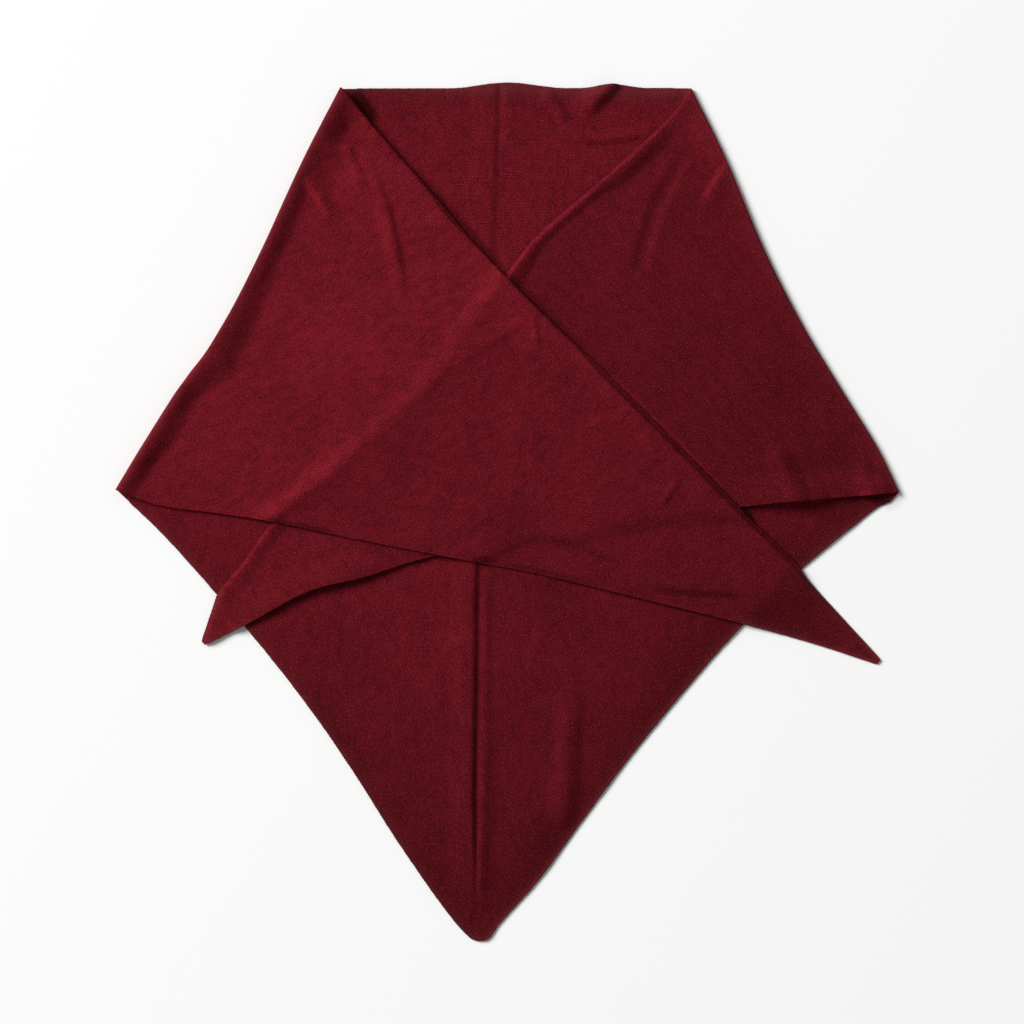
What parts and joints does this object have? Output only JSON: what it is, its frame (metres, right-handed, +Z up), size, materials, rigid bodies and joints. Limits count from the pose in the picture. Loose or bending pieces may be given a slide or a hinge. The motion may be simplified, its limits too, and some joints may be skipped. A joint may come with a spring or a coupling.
{
  "type": "knitted bandana scarf",
  "caption": "Fine-knit triangular bandana scarf, laid flat with both ends folded over the front and crossed",
  "frame": {"origin": "centre of the scarf's outline from above, on the surface it lies on", "axes": "+Y runs from the point up to the neckline, +X to the right seen from above, +Z up off the surface"},
  "size_m": [0.4548, 0.4986, 0.0069],
  "materials": {
    "burgundy_knit": "matt fine knit in burgundy wool, with a soft nap"
  },
  "bodies": {
    "root": {"back": "burgundy_knit", "front_right": "burgundy_knit", "front_left": "burgundy_knit"}
  },
  "joints": []
}
